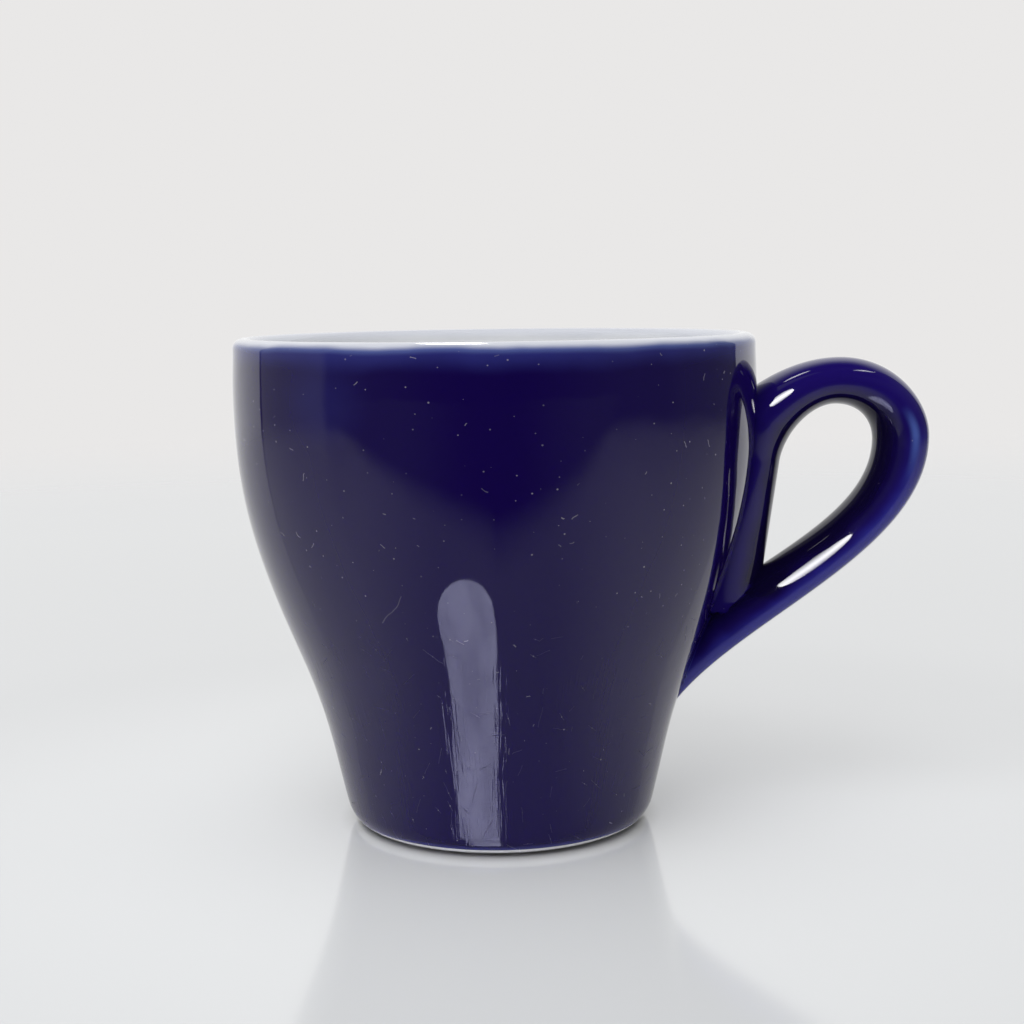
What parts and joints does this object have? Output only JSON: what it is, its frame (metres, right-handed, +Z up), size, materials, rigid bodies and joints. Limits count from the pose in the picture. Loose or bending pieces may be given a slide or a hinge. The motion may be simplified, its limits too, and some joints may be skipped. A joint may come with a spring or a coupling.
{
  "type": "espresso cup",
  "caption": "Tulip-shaped porcelain espresso cup with a looped ear handle, deep blue glaze outside, white glaze inside and over the lip, standing on a bare foot ring.",
  "frame": {"origin": "on the table plane, under the middle of the whole cup's outline with its handle", "axes": "+Z up along the cup's axis, +X from the cup towards the handle, Y across the handle"},
  "size_m": [0.0868, 0.065, 0.0615],
  "materials": {
    "porcelain": "fired, bare, fine matt",
    "luting_slip": "fired, bare, matt",
    "cobalt_glaze": "deep gloss",
    "white_glaze": "gloss"
  },
  "bodies": {
    "root": {"cup_body": "porcelain", "handle": "porcelain", "handle_slip": "luting_slip", "outer_glaze": "cobalt_glaze", "handle_glaze": "cobalt_glaze", "lining_glaze": "white_glaze", "base_glaze": "white_glaze"}
  },
  "joints": []
}
